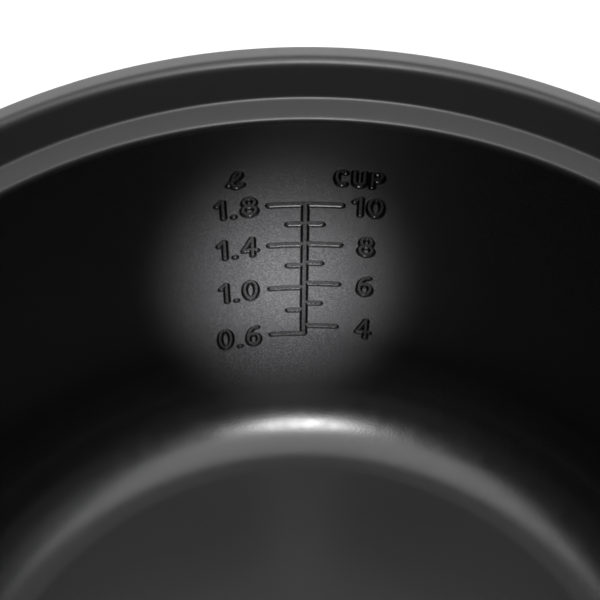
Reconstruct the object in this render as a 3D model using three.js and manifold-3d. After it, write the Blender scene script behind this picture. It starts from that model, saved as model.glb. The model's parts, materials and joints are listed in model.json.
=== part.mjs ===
// A jar-type rice cooker for ten cups of rice (1.8 litres), standing with its lid open.
// Millimetres, +Z up, the front faces -Y. The pot's axis is the working centre of all the profiles;
// the whole cooker is then moved back by FRAME_SHIFT, so that its box is centred over the origin.
import * as THREE from 'three';
import { mergeVertices } from 'three/addons/utils/BufferGeometryUtils.js';
import Module from 'manifold-3d';

const wasm = await Module();
wasm.setup();

// ---------- driving dimensions ----------
const GAP = 0.3; // between pieces that touch
const SIDES = 32; // facets round the large turned pieces

// The inner pot sets the size of everything else.
const POT = {
  rimZ: 197, // top of the flange above the table
  depth: 128, // from the flange down to the flat floor
  flange: 128, // outer radius of the flange
  flangeThick: 2.1,
  lip: 123.4, // where the flat flange turns down
  ledge: 120.4, // outer radius of the ledge inside the mouth
  ledgeDrop: 11, // from the flange down to the ledge's inner edge
  ledgeRise: 1.9, // the ledge slopes up outwards
  mouth: 115, // wall radius just under the ledge
  flat: 84.5, // radius of the flat floor
  fillet: 28, // between floor and wall
  wall: 2,
  base: 2.5,
};
const POT_FLOOR_Z = POT.rimZ - POT.depth;
const POT_UNDER_Z = POT_FLOOR_Z - POT.base;
const LEDGE_Z = POT.rimZ - POT.ledgeDrop;

const SHELL_WALL = 1.2;
const SHELL_OUTLINE = [ // radius and height up the outside of the body
  [131.5, 14], [134.5, 28], [137.2, 60], [138.4, 100], [138.2, 135], [137, 165], [135.5, 184],
];
const PLATE = { radius: 90, hole: 14, low: 58 }; // cast heating plate
const COVER_TOP = 8.8; // inside face of the bottom cover
const LEVER = { pivotY: -45, z: 34, thick: 1.5, knobY: -156 }; // cooking lever under the plate
const ROCKER = { y: -139, z: 60, tilt: THREE.MathUtils.degToRad(8) };
const LATCH = { z: 174, catchY: -130.4, hookY: -131.3, buttonY: -136.4 };
const HINGE = { y: 148, z: 200, knuckle: 8, pin: 2.5 };
const LID_OPEN = THREE.MathUtils.degToRad(90);
const LID_SKIRT = 137.2; // outer radius of the lid
const STEAM_Y = 58; // steam vent, behind the middle of the closed lid
const HANDLE = { radius: 141.7, z: 221, thick: 6, tall: 9 };
const FRAME_SHIFT = -30; // moves the pot's axis forward of the origin

// ---------- materials ----------
const material = (color, roughness, metalness = 0) =>
  new THREE.MeshStandardMaterial({ color, roughness, metalness });
const white = material(0xf1f1ee, 0.3);
const greyPlastic = material(0x8d9092, 0.5);
const blackPlastic = material(0x1b1b1c, 0.5);
const coating = material(0x17171a, 0.42, 0.2);
const aluminium = material(0xb9bbbd, 0.38, 0.9);
const steel = material(0x9a9c9e, 0.35, 0.9);
const rubber = material(0x202020, 0.85);
const silicone = material(0xc9cbcb, 0.6);
const ferriteGrey = material(0x3a3a3d, 0.6);
const felt = material(0xd8d2c2, 0.9);
const brass = material(0xb5924c, 0.35, 0.9);
const amberLens = material(0xe0902a, 0.25);
const redLens = material(0xc8261c, 0.25);
const clearPlastic = material(0xd5dde0, 0.2);
const circuitGreen = material(0x2f6b3a, 0.6);

// ---------- solids ----------
// A closed three.js geometry as a manifold-3d solid, for joining and cutting.
function solid(geometry) {
  const bare = geometry.index ? geometry.toNonIndexed() : geometry.clone();
  bare.deleteAttribute('normal');
  bare.deleteAttribute('uv');
  const merged = mergeVertices(bare, 1e-3);
  const vertProperties = merged.attributes.position.array;
  const triVerts = new Uint32Array(merged.index.array);
  return new wasm.Manifold(new wasm.Mesh({ numProp: 3, vertProperties, triVerts }));
}

function geometryOf(body) {
  const mesh = body.getMesh();
  const geometry = new THREE.BufferGeometry();
  geometry.setAttribute('position', new THREE.BufferAttribute(new Float32Array(mesh.vertProperties), 3));
  geometry.setIndex(new THREE.BufferAttribute(new Uint32Array(mesh.triVerts), 1));
  geometry.computeVertexNormals();
  return geometry;
}

const join = (...bodies) => bodies.reduce((whole, next) => whole.add(next));
const cut = (body, ...tools) => tools.reduce((left, tool) => left.subtract(tool), body);

// Turned about +Z. The outline is a list of [radius, height] that closes on itself or on the axis.
function turned(outline, sides = SIDES) {
  const points = outline.map(([r, z]) => new THREE.Vector2(r, z));
  const area = points.reduce((sum, p, i) => sum + p.cross(points[(i + 1) % points.length]), 0);
  if (area < 0) points.reverse();
  const onAxis = points.findIndex((p, i) => p.x === 0 && points[(i + 1) % points.length].x === 0);
  const ordered = onAxis < 0
    ? [...points, points[0]]
    : [...points.slice(onAxis + 1), ...points.slice(0, onAxis + 1)];
  return solid(new THREE.LatheGeometry(ordered, sides).rotateX(Math.PI / 2));
}

// A block from its lowest to its highest corner.
function block([x0, y0, z0], [x1, y1, z1]) {
  const box = new THREE.BoxGeometry(x1 - x0, y1 - y0, z1 - z0);
  return solid(box.translate((x0 + x1) / 2, (y0 + y1) / 2, (z0 + z1) / 2));
}

// A round bar between two points on a line along one axis.
function bar(axis, radius, from, to, at, sides = 20) {
  const rod = new THREE.CylinderGeometry(radius, radius, to - from, sides);
  if (axis === 'x') rod.rotateZ(Math.PI / 2).translate((from + to) / 2, at[0], at[1]);
  if (axis === 'y') rod.translate(at[0], (from + to) / 2, at[1]);
  if (axis === 'z') rod.rotateX(Math.PI / 2).translate(at[0], at[1], (from + to) / 2);
  return solid(rod);
}

// A prism along Y whose front view is a rectangle with round corners.
function roundedPrism(halfWidth, z0, z1, corner, y0, y1) {
  const s = new THREE.Shape();
  s.moveTo(-halfWidth + corner, z0);
  s.lineTo(halfWidth - corner, z0);
  s.absarc(halfWidth - corner, z0 + corner, corner, -Math.PI / 2, 0);
  s.lineTo(halfWidth, z1 - corner);
  s.absarc(halfWidth - corner, z1 - corner, corner, 0, Math.PI / 2);
  s.lineTo(-halfWidth + corner, z1);
  s.absarc(-halfWidth + corner, z1 - corner, corner, Math.PI / 2, Math.PI);
  s.lineTo(-halfWidth, z0 + corner);
  s.absarc(-halfWidth + corner, z0 + corner, corner, Math.PI, 1.5 * Math.PI);
  const prism = new THREE.ExtrudeGeometry(s, { depth: y1 - y0, bevelEnabled: false, curveSegments: 4 });
  return solid(prism.rotateX(Math.PI / 2).translate(0, y1, 0));
}

// A wire or rod of round section along a curve.
function swept(curve, radius, steps, sides = 8) {
  const section = new THREE.Shape();
  for (let i = 0; i < sides; i++) {
    const turn = (2 * Math.PI * i) / sides;
    const [u, v] = [radius * Math.cos(turn), radius * Math.sin(turn)];
    if (i === 0) section.moveTo(u, v);
    else section.lineTo(u, v);
  }
  return solid(new THREE.ExtrudeGeometry(section, { steps, extrudePath: curve, bevelEnabled: false }));
}

// A coil spring's centreline, along +Z from the origin.
function coil(radius, length, turns) {
  const points = [];
  for (let i = 0; i <= turns * 8; i++) {
    const turn = (i / 8) * 2 * Math.PI;
    points.push(new THREE.Vector3(radius * Math.cos(turn), radius * Math.sin(turn), (length * i) / (turns * 8)));
  }
  return new THREE.CatmullRomCurve3(points);
}

// The springs are drawn as short as they get, so that they stay clear of what presses them.
const spring = (radius, wire, length, turns) => swept(coil(radius, length, turns), wire, turns * 8, 5);

// Points along an arc in the radius-height plane, both ends included, angles in degrees.
function arc(r, z, radius, from, to, pieces = 4) {
  return Array.from({ length: pieces + 1 }, (_, i) => {
    const angle = THREE.MathUtils.degToRad(from + ((to - from) * i) / pieces);
    return [r + radius * Math.cos(angle), z + radius * Math.sin(angle)];
  });
}

const shifted = (outline, dr, dz = 0) => outline.map(([r, z]) => [r + dr, z + dz]);

// Everything inside the body's outer surface, swollen by extra.
const bodyCore = (extra) => turned([[0, 14], ...shifted(SHELL_OUTLINE, extra), [0, 184]]);

// ---------- the cooker's tree ----------
const cooker = new THREE.Group();
cooker.position.y = FRAME_SHIFT;
const lid = new THREE.Group(); // drawn shut, then swung open about the hinge pin
lid.position.set(0, HINGE.y, HINGE.z);
lid.rotation.x = -LID_OPEN;
const lidShut = new THREE.Group();
lidShut.position.set(0, -HINGE.y, -HINGE.z);
lid.add(lidShut);
cooker.add(lid);

function place(parent, name, body, finish) {
  const mesh = new THREE.Mesh(geometryOf(body), finish);
  mesh.name = name;
  parent.add(mesh);
}

// ---------- inner pot ----------
function innerPot() {
  const filletZ = POT_FLOOR_Z + POT.fillet;
  const outerFillet = POT.fillet + POT.base;
  const inside = [
    [0, POT_FLOOR_Z],
    ...arc(POT.flat, filletZ, POT.fillet, -90, 0),
    [POT.mouth, LEDGE_Z - 1],
    [POT.mouth + 0.8, LEDGE_Z],
    [POT.ledge, LEDGE_Z + POT.ledgeRise],
    [POT.ledge + 0.7, LEDGE_Z + POT.ledgeRise + 0.9],
    [POT.lip - 0.6, POT.rimZ - 0.6],
  ];
  const flange = [
    [POT.lip, POT.rimZ],
    [POT.flange - 0.7, POT.rimZ],
    [POT.flange, POT.rimZ - 0.7],
    [POT.flange, POT.rimZ - POT.flangeThick],
    [POT.lip + 1.2, POT.rimZ - POT.flangeThick],
  ];
  const outside = [
    [POT.ledge + POT.wall, LEDGE_Z - POT.wall],
    [POT.mouth + POT.wall, LEDGE_Z - POT.wall],
    ...arc(POT.flat, filletZ, outerFillet, 0, -90),
    [0, POT_UNDER_Z],
  ];
  place(cooker, 'inner_pot', turned([...inside, ...flange, ...outside]), coating);
}

// ---------- body shells ----------
function outerShell() {
  const inside = shifted(SHELL_OUTLINE, -SHELL_WALL).reverse();
  const shell = cut(
    turned([...SHELL_OUTLINE, ...inside]),
    roundedPrism(37, 19, 75, 7, -150, -110), // behind the front panel
    block([-15.6, -150, 162.8], [15.6, -125, 177.2]), // release button
    block([-17.4, 120, 23.6], [17.4, 150, 52.4]), // power inlet
  );
  place(cooker, 'outer_shell', shell, white);
}

function topCollar() {
  const seat = POT.rimZ - POT.flangeThick - GAP; // the flange rests here
  const collar = cut(
    turned([
      [125.6, 178], [125.6, seat], [127.6, seat], [130.6, 190.2], [131.4, 186.4], [135.8, 185.6],
      [136.3, 184.3], [133.8, 184.3], [133.8, 176], [132.2, 176], [132.2, 183.8], [129.6, 184.6],
      [128.8, 189.4], [127.4, 191.6], [127.4, 178],
    ]),
    block([-8.5, -134.6, 175], [8.5, -127.5, 196]), // the lid's hook goes down through here
  );
  place(cooker, 'top_collar', collar, white);
}

function innerCan() {
  const can = turned([
    [92, 52], [121.5, 52], [121.5, 176.5], [127, 176.5], [127, 177.5], [120.5, 177.5], [120.5, 53], [92, 53],
  ]);
  place(cooker, 'inner_can', can, aluminium);
}

function baseTray() {
  const tray = turned([
    [112, 4], [124, 4], [129, 7], [131.5, 13.7], [129.9, 13.7], [129.9, 20], [128.3, 20], [128.3, 14],
    [126.4, 9], [123, 6.5], [112, 6.5],
  ]);
  place(cooker, 'base_tray', tray, greyPlastic);
}

function bottomCover() {
  const disc = turned([[0, 6.8], [119, 6.8], [119, COVER_TOP], [0, COVER_TOP]]);
  const slots = [-2, -1, 0, 1, 2].map((i) => block([14 * i - 2.5, 20, 5], [14 * i + 2.5, 70, 10]));
  place(cooker, 'bottom_cover', cut(disc, ...slots), greyPlastic);
}

function feetAndScrews() {
  const onTray = (degrees) => { // a point in the middle of the tray's flange
    const turn = THREE.MathUtils.degToRad(degrees);
    return [118 * Math.cos(turn), 118 * Math.sin(turn)];
  };
  [45, 135, 225, 315].forEach((turn, i) =>
    place(cooker, `foot_${i + 1}`, bar('z', 5.8, 0, 4 - GAP, onTray(turn), 16), rubber));
  [0, 180].forEach((turn, i) =>
    place(cooker, `base_screw_${i + 1}`, bar('z', 3, 2.2, 4 - GAP, onTray(turn), 12), steel));
}

// ---------- heating plate and thermostat ----------
function heatingPlate() {
  const top = POT_UNDER_Z - GAP;
  const plate = turned([
    [PLATE.hole, PLATE.low], [PLATE.radius - 2, PLATE.low], [PLATE.radius, PLATE.low + 2],
    [PLATE.radius, top - 1], [PLATE.radius - 1, top], [PLATE.hole, top],
  ], 36);
  place(cooker, 'heating_plate', plate, aluminium);

  // The sheathed element runs round under the plate and turns down at both ends.
  const rod = 4.2;
  const z = PLATE.low - 2 * GAP - rod;
  const points = Array.from({ length: 21 }, (_, i) => {
    const turn = THREE.MathUtils.degToRad(110 + (320 * i) / 20);
    return new THREE.Vector3(62 * Math.cos(turn), 62 * Math.sin(turn), z);
  });
  const ends = [points[0], points[20]].map((p) => [
    new THREE.Vector3(p.x * 0.97, p.y * 1.06, z - 5),
    new THREE.Vector3(p.x * 0.97, p.y * 1.08, z - 16),
  ]);
  const path = new THREE.CatmullRomCurve3([ends[0][1], ends[0][0], ...points, ends[1][0], ends[1][1]]);
  place(cooker, 'heating_element', swept(path, rod, 30), steel);

  for (let i = 0; i < 3; i++) {
    const turn = THREE.MathUtils.degToRad(90 + 120 * i);
    const at = [80 * Math.cos(turn), 80 * Math.sin(turn)];
    place(cooker, `plate_post_${i + 1}`, bar('z', 4, COVER_TOP + GAP, PLATE.low - GAP, at, 12), steel);
  }
}

function thermostat() {
  const housing = turned([
    [2.5, 40], [13.4, 40], [13.4, 56.2], [20, 56.2], [20, 57.6], [12.4, 57.6], [12.4, 41.2], [2.5, 41.2],
  ], 24);
  place(cooker, 'thermostat_housing', housing, steel);
  const capTop = POT_UNDER_Z - GAP; // pressed lightly against the pot
  const cap = turned([[0, capTop], [11.9, capTop], [11.9, 52], [11.1, 52], [11.1, capTop - 1], [0, capTop - 1]], 24);
  place(cooker, 'sensor_cap', cap, aluminium);
  place(cooker, 'ferrite_disc', bar('z', 8.4, 60.3, capTop - 1 - GAP, [0, 0]), ferriteGrey);
  place(cooker, 'moving_magnet', bar('z', 8, 48.6, 56, [0, 0]), ferriteGrey);
  const rod = turned([[0, 28], [2, 28], [2, 35.6], [5, 35.6], [5, 37], [2, 37], [2, 48.3], [0, 48.3]], 16);
  place(cooker, 'magnet_rod', rod, steel);
  place(cooker, 'sensor_spring', spring(10.1, 0.45, 20.8, 4).translate([0, 0, 42]), steel);
}

function warmingBand() {
  const band = turned([[122, 108], [123.4, 108], [123.4, 130], [122, 130]], 36);
  place(cooker, 'keep_warm_heater', band, brass);
}

// ---------- cooking lever ----------
function cookingLever() {
  const half = LEVER.thick / 2;
  const lever = cut(
    join(
      block([-4, -137.5, LEVER.z - half], [4, 2, LEVER.z + half]),
      bar('z', 6.5, LEVER.z - half, LEVER.z + half, [0, 0], 16),
      bar('x', 4.2, -4, 4, [LEVER.pivotY, LEVER.z], 16),
    ),
    bar('z', 3, LEVER.z - 4, LEVER.z + 4, [0, 0], 16), // the magnet's rod hangs through here
    bar('x', 1.8, -6, 6, [LEVER.pivotY, LEVER.z], 16),
  );
  place(cooker, 'cooking_lever', lever, steel);
  const knob = cut(
    roundedPrism(13, LEVER.z - 5, LEVER.z + 5, 3, LEVER.knobY, -136),
    block([-4 - GAP, -138, LEVER.z - half - GAP], [4 + GAP, -130, LEVER.z + half + GAP]),
  );
  place(cooker, 'cooking_knob', knob, blackPlastic);

  const foot = COVER_TOP + GAP;
  const bracket = cut(
    join(
      block([-10, LEVER.pivotY - 8, foot], [10, LEVER.pivotY + 8, foot + 1.5]),
      block([-10, LEVER.pivotY - 5, foot], [-8, LEVER.pivotY + 5, LEVER.z + 5]),
      block([8, LEVER.pivotY - 5, foot], [10, LEVER.pivotY + 5, LEVER.z + 5]),
    ),
    bar('x', 1.8, -12, 12, [LEVER.pivotY, LEVER.z], 16),
  );
  place(cooker, 'lever_bracket', bracket, steel);
  place(cooker, 'lever_pin', bar('x', 1.5, -12, 12, [LEVER.pivotY, LEVER.z], 12), steel);
}

function electrics() {
  const foot = COVER_TOP + GAP;
  place(cooker, 'microswitch', block([8, -92, foot], [14.5, -72, 30]), blackPlastic);
  place(cooker, 'terminal_block', block([26, 44, foot], [50, 74, 24]), felt);
  const board = block([-30, -133.6, 44], [30, -132, 72]);
  place(cooker, 'lamp_board', board, circuitGreen);
}

// ---------- front panel ----------
function frontPanel() {
  const face = 142;
  const backing = shifted(SHELL_OUTLINE, 0.4).slice(0, 4);
  const ring = turned([[face - 1, 14], [face, 16], [face, 99], [face - 1, 100], [138.8, 100], ...backing.reverse()]);
  const inside = turned([[0, 10], [face - 2.4, 10], [face - 2.4, 100], [0, 100]]);
  const panel = cut(
    ring.intersect(roundedPrism(41, 15, 80, 9, -150, -110)),
    inside.intersect(roundedPrism(37, 19, 75, 7, -150, -110)),
    roundedPrism(14.6, 20, 40.2, 3.5, -150, -110), // cooking knob
    block([-7.3, -150, ROCKER.z - 10.8], [7.3, -110, ROCKER.z + 10.8]),
    bar('y', 4.9, -150, -110, [-22, ROCKER.z]),
    bar('y', 4.9, -150, -110, [22, ROCKER.z]),
  );
  place(cooker, 'front_panel', panel, greyPlastic);
  place(cooker, 'cook_lamp', bar('y', 4.5, -141.8, -134, [-22, ROCKER.z]), redLens);
  place(cooker, 'warm_lamp', bar('y', 4.5, -141.8, -134, [22, ROCKER.z]), amberLens);
}

// The keep-warm rocker lies with its lower half pressed in.
function warmRocker() {
  const side = new THREE.Shape();
  side.moveTo(-4, -9.6);
  side.lineTo(2, -9.6);
  side.lineTo(2, 9.6);
  side.lineTo(-4, 9.6);
  side.lineTo(-2.9, 0);
  const rocker = new THREE.ExtrudeGeometry(side, { depth: 13.4, bevelEnabled: false });
  rocker.rotateX(Math.PI / 2).rotateZ(Math.PI / 2); // the outline's x and y become y and z
  rocker.translate(-6.7, 0, 0);
  rocker.rotateX(ROCKER.tilt).translate(0, ROCKER.y, ROCKER.z);
  place(cooker, 'keep_warm_rocker', solid(rocker), blackPlastic);
}

// ---------- lid latch ----------
function latch() {
  const ring = turned([[130, 150], [141, 150], [141, 190], [130, 190]]);
  const bezel = cut(
    ring.intersect(roundedPrism(21, 157.5, 182, 6, -150, -110)),
    bodyCore(0.4),
    roundedPrism(15.6, 162.8, 177.2, 3, -150, -110),
  );
  place(cooker, 'button_bezel', bezel, greyPlastic);
  const thumb = turned([[130, 150], [142.6, 150], [142.6, 190], [130, 190]]);
  const button = thumb.intersect(roundedPrism(15, 163.4, 176.6, 2.6, -150, LATCH.buttonY));
  place(cooker, 'release_button', button, greyPlastic);

  const legs = LATCH.buttonY + GAP; // they reach forward to the back of the button
  const slider = join(
    block([-14, LATCH.catchY, LATCH.z], [14, -125, LATCH.z + 2]),
    block([-14, legs, LATCH.z], [-9.5, -125, LATCH.z + 2]),
    block([9.5, legs, LATCH.z], [14, -125, LATCH.z + 2]),
  );
  place(cooker, 'latch_slider', slider, steel);
  const pushBack = spring(2.6, 0.4, 7.4, 4).rotate([90, 0, 0]).translate([0, -122.4, 166.8]);
  place(cooker, 'latch_spring', pushBack, steel);
}

// ---------- rear of the body ----------
function hingeBracket() {
  const sleeve = HINGE.pin + 0.3;
  const ears = [-1, 1].map((side) => {
    const [near, far] = [24 * side, 34 * side].sort((a, b) => a - b);
    return join(
      block([near, 141, 178], [far, 156, HINGE.z]),
      bar('x', HINGE.knuckle, near, far, [HINGE.y, HINGE.z]),
    );
  });
  const rails = [-1, 1].map((side) => {
    const [rail, lip] = [[28.6, 32], [26.6, 32]].map((r) => r.map((x) => x * side).sort((a, b) => a - b));
    return join(
      block([rail[0], 130, 143], [rail[1], 156, 153]),
      block([lip[0], 130, 143], [lip[1], 156, 146]),
    );
  });
  const bracket = cut(
    join(block([-36, 110, 152], [36, 157, 183]), ...ears, ...rails),
    bodyCore(0.4),
    bar('x', sleeve, -40, 40, [HINGE.y, HINGE.z]),
  );
  place(cooker, 'hinge_bracket', bracket, white);
  place(cooker, 'hinge_pin', bar('x', HINGE.pin, -36, 36, [HINGE.y, HINGE.z], 16), steel);
  const opener = spring(4.7, 0.7, 13, 4).rotate([0, 90, 0]).translate([2.5, HINGE.y, HINGE.z]);
  place(cooker, 'hinge_spring', opener, steel);
}

function dewCup() {
  const cup = cut(
    join(
      block([-25.8, 130, 122], [25.8, 158, 149]),
      block([-28.2, 130, 146.4], [28.2, 158, 149]),
    ),
    block([-23.8, 142, 124], [23.8, 156, 150]),
    bodyCore(0.6),
  );
  place(cooker, 'dew_cup', cup, clearPlastic);
}

function powerInlet() {
  const socket = cut(
    block([-17, 118, 24], [17, 140.5, 52]),
    block([-13.5, 121, 28], [13.5, 145, 48]),
    bar('y', 2.5, 110, 125, [-7.5, 38], 12),
    bar('y', 2.5, 110, 125, [7.5, 38], 12),
  );
  place(cooker, 'power_inlet', socket, blackPlastic);
  place(cooker, 'inlet_pin_left', bar('y', 2.2, 112, 137, [-7.5, 38], 12), brass);
  place(cooker, 'inlet_pin_right', bar('y', 2.2, 112, 137, [7.5, 38], 12), brass);
}

// ---------- lid, drawn shut ----------
function lidShell() {
  const outside = [
    [LID_SKIRT, 187.3], [LID_SKIRT, 206], [134.6, 223], [127, 241], [114, 253], [92, 259.5], [0, 262.5],
  ];
  const inside = [
    [0, 260.2], [91.4, 257.2], [112.4, 250.9], [125, 239.6], [132.3, 222.5], [134.8, 206], [134.8, 187.3],
  ];
  const shell = cut(
    turned([...outside, ...inside]),
    bar('z', 19.8, 240, 270, [0, STEAM_Y], 24),
    block([-22.5, 120, 180], [22.5, 150, 207.6]), // hinge arm
    bar('x', 4.4, -150, 150, [0, HANDLE.z], 16), // handle pins
  );
  place(lidShut, 'lid_shell', shell, white);
}

function lidFrame() {
  const frame = cut(
    turned([
      [0, 207.5], [126.5, 207.5], [128.3, 206], [128.3, 200.2], [133.6, 200.2], [133.6, 211], [132.2, 211],
      [132.2, 209.5], [0, 209.5],
    ]),
    bar('z', 10, 200, 215, [0, STEAM_Y]),
    block([-22.4, 129.7, 190], [22.4, 150, 207.6]),
  );
  place(lidShut, 'lid_frame', frame, greyPlastic);
  const felted = cut(
    turned([[0, 210], [116, 210], [116, 221], [0, 221]], 32),
    bar('z', 11, 200, 230, [0, STEAM_Y], 16),
  );
  place(lidShut, 'lid_insulation', felted, felt);
}

function hingeArm() {
  const arm = cut(
    join(
      block([-22, 130, 193], [22, HINGE.y, 207]),
      bar('x', HINGE.knuckle, -22, 22, [HINGE.y, HINGE.z]),
    ),
    bar('x', HINGE.pin + 0.3, -30, 30, [HINGE.y, HINGE.z]),
    block([1.5, HINGE.y - 6.5, HINGE.z - 10], [16.5, HINGE.y + 10, HINGE.z + 10]), // room for the spring
  );
  place(lidShut, 'lid_hinge_arm', arm, greyPlastic);
}

function lidHook() {
  const hook = join(
    block([-7, LATCH.hookY - 1.7, LATCH.z - 4], [7, LATCH.hookY, 200.2 - GAP]),
    block([-7, LATCH.hookY - 0.1, LATCH.z - 4], [7, -128.8, LATCH.z - 1]),
  );
  place(lidShut, 'lid_hook', hook, steel);
}

function steamVent() {
  const duct = turned([
    [6.8, 203.2], [8.2, 203.2], [8.2, 232], [19.4, 232], [19.4, 257.5], [18, 257.5], [18, 233.4], [6.8, 233.4],
  ], 24);
  place(lidShut, 'steam_duct', duct.translate([0, STEAM_Y, 0]), greyPlastic);
  const cap = cut(
    turned([
      [14.5, 240], [17.4, 240], [17.4, 262.9], [24.5, 262.9], [25, 264.5], [23, 267], [0, 268], [0, 262],
      [14.5, 262],
    ], 28),
    ...[-9, 0, 9].map((y) => block([-9, y - 1.5, 255], [9, y + 1.5, 275])),
  );
  place(lidShut, 'steam_cap', cap.translate([0, STEAM_Y, 0]), greyPlastic);
}

// The inner lid pulls off for washing; its gasket seals on the pot's flange.
function innerLid() {
  const holes = Array.from({ length: 5 }, (_, i) => {
    const turn = (2 * Math.PI * i) / 5;
    return bar('z', 2.6, 195, 205, [7 * Math.cos(turn), STEAM_Y + 7 * Math.sin(turn)], 10);
  });
  const disc = turned([
    [0, 199], [94, 199], [100, 201], [119.6, 201], [119.6, 202.2], [99.5, 202.2], [93.5, 200.2], [0, 200.2],
  ]);
  place(lidShut, 'inner_lid', cut(disc, ...holes), aluminium);
  const gasket = turned([
    [117.6, 199], [121.5, 198.2], [127.3, POT.rimZ + GAP], [127.7, 198.3], [123.2, 200.4], [123.2, 204.2],
    [117.6, 204.2], [117.6, 202.6], [120, 202.6], [120, 200.6], [117.6, 200.6],
  ]);
  place(lidShut, 'inner_lid_gasket', gasket, silicone);
  const knob = turned([[0, 190], [8, 190], [9.5, 191.5], [8, 194.5], [7, 198.7], [0, 198.7]], 20);
  place(lidShut, 'inner_lid_knob', knob, blackPlastic);
}

// The handle folds back round the lid and stands up to carry the cooker.
function carryHandle() {
  const { radius, z, thick, tall } = HANDLE;
  const [inner, outer] = [radius - thick / 2, radius + thick / 2];
  const ring = turned([[inner, z - tall / 2], [outer, z - tall / 2], [outer, z + tall / 2], [inner, z + tall / 2]]);
  const eyes = [bar('x', 8, inner, outer + 0.6, [0, z]), bar('x', 8, -outer - 0.6, -inner, [0, z])];
  const bail = cut(
    join(cut(ring, block([-150, -150, 200], [150, 0, 240])), ...eyes),
    bar('x', 4.4, -150, 150, [0, z], 16),
  );
  place(lidShut, 'carry_handle', bail, greyPlastic);
  place(lidShut, 'handle_pin_right', bar('x', 4, 129, 146, [0, z], 14), steel);
  place(lidShut, 'handle_pin_left', bar('x', 4, -146, -129, [0, z], 14), steel);
}

innerPot();
outerShell();
topCollar();
innerCan();
baseTray();
bottomCover();
feetAndScrews();
heatingPlate();
thermostat();
warmingBand();
cookingLever();
electrics();
frontPanel();
warmRocker();
latch();
hingeBracket();
dewCup();
powerInlet();
lidShell();
lidFrame();
hingeArm();
lidHook();
steamVent();
innerLid();
carryHandle();

export default cooker;
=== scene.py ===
import json
import math

import bmesh
import bpy
import numpy as np
from mathutils import Matrix, Vector


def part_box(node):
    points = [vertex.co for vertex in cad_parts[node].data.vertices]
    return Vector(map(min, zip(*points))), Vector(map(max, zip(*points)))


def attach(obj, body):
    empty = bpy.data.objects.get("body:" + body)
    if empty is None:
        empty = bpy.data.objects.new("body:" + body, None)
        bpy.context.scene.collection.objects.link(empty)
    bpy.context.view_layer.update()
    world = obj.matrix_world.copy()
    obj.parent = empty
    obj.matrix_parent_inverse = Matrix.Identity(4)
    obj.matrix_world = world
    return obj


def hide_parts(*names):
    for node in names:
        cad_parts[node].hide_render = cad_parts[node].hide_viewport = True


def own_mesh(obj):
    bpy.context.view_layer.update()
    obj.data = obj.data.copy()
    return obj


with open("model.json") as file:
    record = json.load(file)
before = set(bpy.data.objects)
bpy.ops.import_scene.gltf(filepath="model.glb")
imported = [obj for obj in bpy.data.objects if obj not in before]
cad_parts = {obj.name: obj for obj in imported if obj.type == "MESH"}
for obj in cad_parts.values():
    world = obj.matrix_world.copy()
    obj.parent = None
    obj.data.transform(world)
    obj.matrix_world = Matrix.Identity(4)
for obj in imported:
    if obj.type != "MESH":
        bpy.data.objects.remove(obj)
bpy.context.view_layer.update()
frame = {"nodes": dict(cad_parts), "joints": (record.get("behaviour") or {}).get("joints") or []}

MM = 0.001

# ---------------------------------------------------------------- places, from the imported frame
pot_low, pot_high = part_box("inner_pot")
joints = {joint["name"]: joint for joint in frame["joints"]}
hinge = Vector(joints["lid_hinge"]["pos_m"])
POT_AXIS = Vector(((pot_low.x + pot_high.x) / 2, (pot_low.y + pot_high.y) / 2, 0))
RIM = pot_high.z / MM  # top of the flange
FLANGE = (pot_high.x - pot_low.x) / 2 / MM
DEPTH = 128.0  # flange to floor, inside
FLOOR = RIM - DEPTH
FILLET = 28.0  # corner between wall and floor

STANDING = Matrix.Translation(POT_AXIS) @ Matrix.Scale(MM, 4)
SWING = Matrix.Translation(hinge) @ Matrix.Rotation(-math.pi / 2, 4, "X") @ Matrix.Translation(-hinge)
OPEN_LID = SWING @ STANDING  # what is drawn on the shut lid, swung open
HINGE_Y = (hinge.y - POT_AXIS.y) / MM
HINGE_Z = hinge.z / MM

SHELL_LINE = [(131.5, 14), (134.5, 28), (137.2, 60), (138.4, 100), (138.2, 135), (137, 165), (135.5, 184)]
KNOB_Z = 34.0
ROCKER_Z = 60.0
LATCH_Z = 170.0
GROOVE_SHADE = "recess"  # painted shade on the flank of an engraved stroke, 0 to 1
STEAM_Y = 58.0
HANDLE_Z, HANDLE_R = 221.0, 141.7


# ---------------------------------------------------------------- mesh helpers
def softened(outline, pieces=5):
    """Rounds each (x, y, radius) corner of a closed outline with an arc; two-number corners stay sharp."""
    points = []
    for i, corner in enumerate(outline):
        here = np.array(corner[:2], float)
        if len(corner) < 3:
            points.append(here)
            continue
        before = np.array(outline[i - 1][:2], float) - here
        after = np.array(outline[(i + 1) % len(outline)][:2], float) - here
        room = 0.49 * min(np.linalg.norm(before), np.linalg.norm(after))
        before /= np.linalg.norm(before)
        after /= np.linalg.norm(after)
        half = math.acos(max(-1.0, min(1.0, float(before @ after)))) / 2
        reach = min(corner[2] / math.tan(half), room)
        middle = math.sin(half)
        rest = min(0.5 * reach, 0.5, max(room - reach, 0))
        if rest > 0.02:
            points.append(here + before * (reach + rest))
        for s in np.linspace(0, 1, pieces + 1):
            a, b, c = (1 - s) ** 2, 2 * middle * s * (1 - s), s * s
            points.append((a * (here + before * reach) + b * here + c * (here + after * reach)) / (a + b + c))
        if rest > 0.02:
            points.append(here + after * (reach + rest))
    return [tuple(p) for p in points]


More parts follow.
